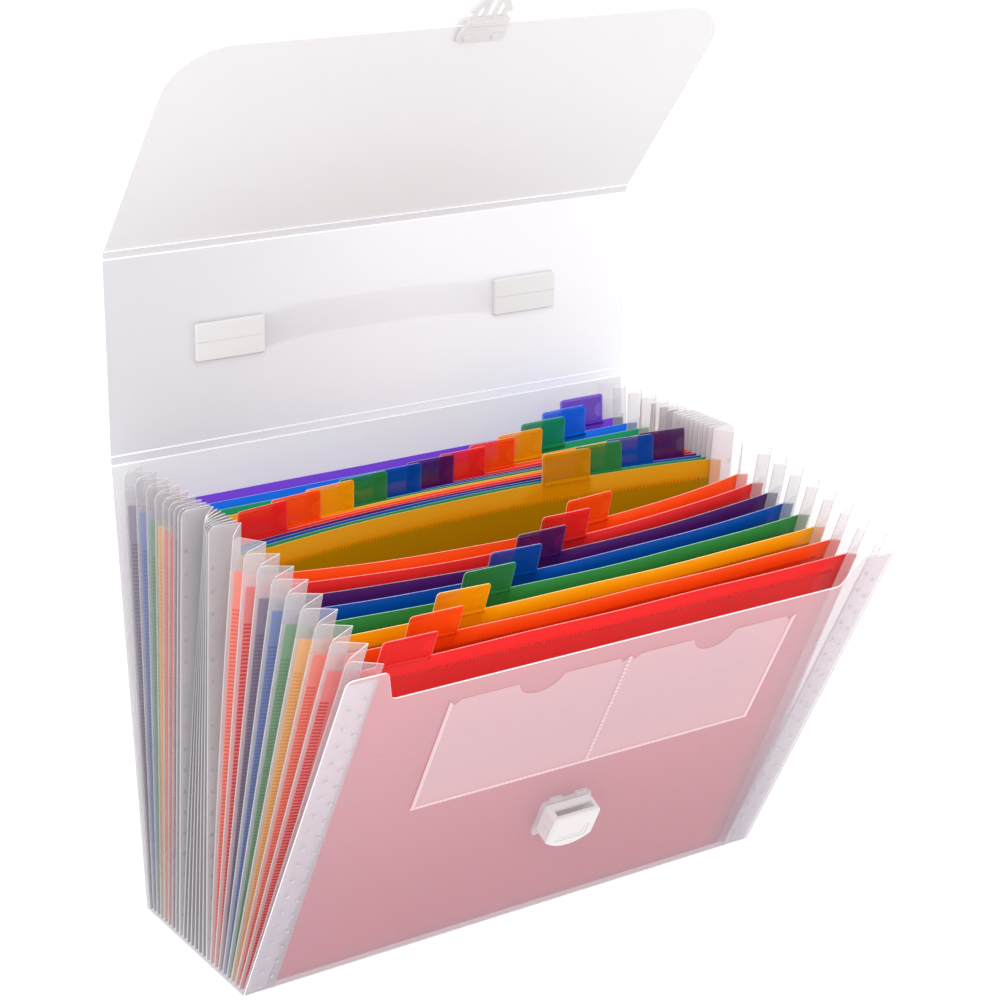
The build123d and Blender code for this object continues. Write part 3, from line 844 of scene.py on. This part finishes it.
def sheet_mesh(number):
    """A divider's outline as a grid: the sheet, then the rows of its tab."""
    low = tab_middle(number) - tab_size[0] / 2
    high = low + tab_size[0]
    top = divider_height + tab_size[1]
    near = 1e-9
    tab_xs = steps(low, low + tab_round, round_steps)
    tab_xs += steps(low + tab_round, high - tab_round, tab_columns)[1:]
    tab_xs += steps(high - tab_round, high, round_steps)[1:]
    xs = steps(-divider_half, low, side_columns)[:-1] + tab_xs
    xs += steps(high, divider_half, side_columns)[1:]
    ups = steps(0, divider_height, sheet_rows) + steps(divider_height, top - tab_round, tab_rows)[1:]
    ups += steps(top - tab_round, top, round_steps)[1:]
    points, index, faces = [], {}, []
    for row, up in enumerate(ups):
        for column, x in enumerate(xs):
            if row <= sheet_rows or low - near <= x <= high + near:
                index[row, column] = len(points)
                points.append(rounded(x, up, low, high, top) if row > sheet_rows else (x, up))
    for row in range(len(ups) - 1):
        for column in range(len(xs) - 1):
            corners = [(row, column), (row, column + 1), (row + 1, column + 1), (row + 1, column)]
            if all(corner in index for corner in corners):
                faces.append([index[corner] for corner in corners])
    return points, faces


for number in range(1, divider_count + 1):
    look = look_of(number)
    name = f"divider_{number:02d}"
    places, faces = sheet_mesh(number)
    put = bowed(number)
    sheet = new_piece(name + "_sheet", [put(x, up) for x, up in places], faces,
                      [sheet_finishes[look], edge_finishes[look]])
    lay_map(sheet, "sheet", places)
    for face in sheet.data.polygons:
        face.use_smooth = True
    thicken(sheet, divider_sheet, rim=1)
    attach(sheet, name)
    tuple(fan[number].out)
    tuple(fan[number].foot)
    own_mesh(sheet)
    "divider_" + look[1]
    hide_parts(name)

# Weld marks and label sleeves of the dividers
# A strip along each divider's top edge and the sleeve on its tab are welded on with short bars. The sleeve
# is thin film of the sheet's colour. It takes a paper label, and its right edge has a half-round thumb cut.

top_bar_pitch = 0.0021
top_bar_size = (0.0008, 0.0024, 0.0003)
top_bar_reach = 0.141
top_bar_lift = 0.0003
tab_bar_size = (0.0013, 0.0011, 0.0003)
tab_bar_drop = 0.0015
tab_bar_lift = 0.0008
sleeve_inset = 0.0015
sleeve_drop = 0.001
sleeve_lift = 0.0006
sleeve_columns = 8
sleeve_end_rows, thumb_rows = 2, 8
thumb_radius = 0.0045
top_bar_cover = 0.9
bar_looks = {name: bar_finish("divider_bar_" + name, colour, top_bar_cover)
             for name, colour in divider_colours.items()}


def sleeve_mesh(middle):
    """The front of a label sleeve on flat coordinates, with the thumb cut in its right edge."""
    low, high = middle - tab_size[0] / 2 + sleeve_inset, middle + tab_size[0] / 2 - sleeve_inset
    foot, top = divider_height - sleeve_drop, divider_height + tab_size[1] - sleeve_inset
    half = (foot + top) / 2
    ups = steps(foot, half - thumb_radius, sleeve_end_rows)
    ups += steps(half - thumb_radius, half + thumb_radius, thumb_rows)[1:]
    ups += steps(half + thumb_radius, top, sleeve_end_rows)[1:]
    points = []
    for up in ups:
        cut = sqrt(max(thumb_radius**2 - (up - half) ** 2, 0.0))
        points += [(x, up) for x in steps(low, high - cut, sleeve_columns)]
    return points, grid_faces(len(ups) - 1, sleeve_columns + 1)


for number in range(1, divider_count + 1):
    look = look_of(number)
    colour = look[1]
    name = f"divider_{number:02d}"
    put = bowed(number)
    middle = tab_middle(number)
    row = marks(bar_tree, {
        "Count": int(2 * top_bar_reach / top_bar_pitch) + 1,
        "Start": (-top_bar_reach, weld_row, top_bar_lift),
        "Step": (top_bar_pitch, 0, 0),
        "Size": top_bar_size,
        "Material": bar_looks[colour],
    })
    foot = marks(bar_tree, {
        "Count": int(tab_size[0] / top_bar_pitch),
        "Start": (middle - tab_size[0] / 2 + top_bar_pitch, divider_height - tab_bar_drop, tab_bar_lift),
        "Step": (top_bar_pitch, 0, 0),
        "Size": tab_bar_size,
        "Material": bar_looks[colour],
    })
    bars = gather(name + "_bars", [(row, put), (foot, put)])
    places, faces = sleeve_mesh(middle)
    sleeve = new_piece(name + "_sleeve", [put(x, up, sleeve_lift) for x, up in places], faces,
                       [sleeve_finishes[look]])
    lay_map(sleeve, "sheet", places)
    thicken(sleeve, film)
    for piece in (bars, sleeve):
        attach(piece, name)
        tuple(fan[number].out)
        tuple(fan[number].foot)
        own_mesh(piece)
        "divider_" + colour

# Card pocket
# A clear, smooth polypropylene film, welded on the front panel along its sides, and in dashes along its foot
# and middle. Each of the two compartments has a thumb notch at its top.

pocket_seam = 0.002
seam_fade = 0.0003
dash_turns = 2 * pi / 0.0028
dash_fade = 0.3
upright_gap, level_gap = 0.4, 0.6
skin_low, skin_high = 0.0002, 0.0001
pocket_edge_cover, pocket_cover, weld_cover = 0.5, 0.26, 0.22
pocket_flat = facing(nodes["front_panel"])
pocket_up = fan[0].up
corners = [corner.co for corner in nodes["card_pocket"].data.vertices]
pocket_left, pocket_right = min(corner.x for corner in corners), max(corner.x for corner in corners)
pocket_middle, pocket_half = (pocket_left + pocket_right) / 2, (pocket_right - pocket_left) / 2
pocket_foot = min(pocket_up.dot(corner) for corner in corners)
pocket_face = max(pocket_flat.dot(corner) for corner in corners)

pocket = Finish("card_pocket_film")
face = pocket.on_face(pocket_flat)
cloud = pocket.noise(20.0)
depth = pocket.dot(pocket.place, pocket_flat)
outside = pocket.ramp(depth, pocket_face - skin_low, pocket_face - skin_high)
across = pocket.axis(pocket.place, "X")
from_middle = abs(across - pocket_middle)
from_foot = pocket.dot(pocket.place, pocket_up) - pocket_foot
side_weld = pocket.ramp(from_middle, pocket_half - pocket_seam - seam_fade, pocket_half - pocket_seam)
middle_weld = pocket.ramp(from_middle, pocket_seam / 2, pocket_seam / 2 + seam_fade, 1.0, 0.0)
foot_weld = pocket.ramp(from_foot, pocket_seam, pocket_seam + seam_fade, 1.0, 0.0)
upright_wave = pocket.math("SINE", from_foot * dash_turns)
upright_dash = pocket.ramp(upright_wave, -dash_fade, dash_fade, upright_gap, 1.0)
level_wave = pocket.math("SINE", across * dash_turns)
level_dash = pocket.ramp(level_wave, -dash_fade, dash_fade, level_gap, 1.0)
welded = pocket.math("MAXIMUM", side_weld, middle_weld * upright_dash)
welded = pocket.math("MAXIMUM", welded, foot_weld * level_dash)
cover = pocket.ramp(face, 0.0, 1.0, pocket_edge_cover, pocket_cover)
nodes["card_pocket"].material_slots[0].material = pocket.done({
    "Base Color": pocket.mix(face, (0.95, 0.88, 0.90, 1), (0.98, 0.84, 0.88, 1)),
    "Roughness": 0.30 + 0.06 * cloud,
    "Alpha": (cover + weld_cover * welded) * outside,
    "Specular IOR Level": 0.2,
    # Painted glow: a pink emission lifts the film and the panel seen through it.
    "Emission Color": (1.0, 0.86, 0.89, 1),
    "Emission Strength": 0.12,
})

# Latch and handle
# White injection-moulded polypropylene: the latch's receiver, button, tongue and plates, and the handle's
# caps and plates. The faces are polished in the mould, and the strap has a fine matt grain.


def moulded(name, colour, gloss, grain_depth, glow):
    """White plastic: glow stands for the light that the thin walls let through."""
    part = Finish(name)
    grain = part.noise(900.0)
    cloud = part.noise(25.0)
    return part.done({
        "Base Color": part.mix(cloud, toned(colour, 0.95), colour),
        "Roughness": gloss + 0.10 * grain,
        "Normal": part.bump(grain + cloud, grain_depth, 0.0002),
        "Coat Weight": 0.15,
        "Emission Color": colour,
        "Emission Strength": glow,
    })


polished = moulded("moulded_latch", (0.62, 0.60, 0.60, 1), 0.16, 0.08, 0.26)
satin = moulded("moulded_plates", (0.80, 0.80, 0.80, 1), 0.24, 0.1, 0.05)
matt = moulded("moulded_strap", (0.84, 0.84, 0.85, 1), 0.38, 0.3, 0.0)
for name, node in nodes.items():
    if name.startswith("latch_"):
        node.material_slots[0].material = polished
    elif name.startswith("handle_"):
        node.material_slots[0].material = matt if name == "handle_strap" else satin

# Stage
# A pale floor, a white surround and soft lights from the upper left, the right and the back, with the
# camera where the photograph was taken from.

floor_half = 6.0
floor_corners = [(side * floor_half, end * floor_half, 0)
                 for side, end in ((-1, -1), (1, -1), (1, 1), (-1, 1))]
ground = Finish("floor_white")
dust = ground.noise(3.0)
floor_finish = ground.done({
    "Base Color": ground.mix(dust, (0.44, 0.44, 0.44, 1), (0.46, 0.46, 0.46, 1)),
    "Roughness": 0.9,
    "Specular IOR Level": 0.0,
    "Emission Color": (1, 1, 1, 1),
    "Emission Strength": 0.72,
})
floor = new_piece("floor", floor_corners, [(0, 1, 2, 3)], [floor_finish])

scene = bpy.context.scene
scene.view_settings.view_transform = "Standard"
world = bpy.data.worlds.new("surround")
world.use_nodes = True
surround = world.node_tree.nodes["Background"]
surround.inputs["Color"].default_value = (1, 1, 1, 1)
surround.inputs["Strength"].default_value = 1.0
scene.world = world


def soft_light(name, place, target, size, power):
    lamp = bpy.data.lights.new(name, "AREA")
    lamp.size = size
    lamp.energy = power
    light = bpy.data.objects.new(name, lamp)
    light.location = place
    light.rotation_euler = (Vector(target) - Vector(place)).to_track_quat("-Z", "Y").to_euler()
    scene.collection.objects.link(light)


soft_light("key", (-1.1, -1.3, 1.7), (0, 0, 0.15), 1.0, 9)
soft_light("fill", (1.5, -1.0, 1.2), (0, 0, 0.15), 1.4, 2)
soft_light("back", (0.2, 1.6, 1.5), (0, 0, 0.2), 1.4, 4)

azimuth, elevation, roll = radians(-33.88), radians(18.75), radians(0.59)
camera_place = (-0.6688, -1.0347, 0.6443)
away = Vector((sin(azimuth) * cos(elevation), -cos(azimuth) * cos(elevation), sin(elevation)))
level = Vector((0, 0, 1)).cross(away).normalized()
upright = away.cross(level)
right = level * cos(roll) + upright * sin(roll)
turned = Matrix((right, away.cross(right), away)).transposed().to_4x4()
camera = bpy.data.objects.new("camera", bpy.data.cameras.new("camera"))
camera.data.lens = 87.43
camera.data.shift_x = 0.0024
camera.data.shift_y = -0.0052
camera.matrix_world = Matrix.Translation(camera_place) @ turned
scene.collection.objects.link(camera)
scene.camera = camera
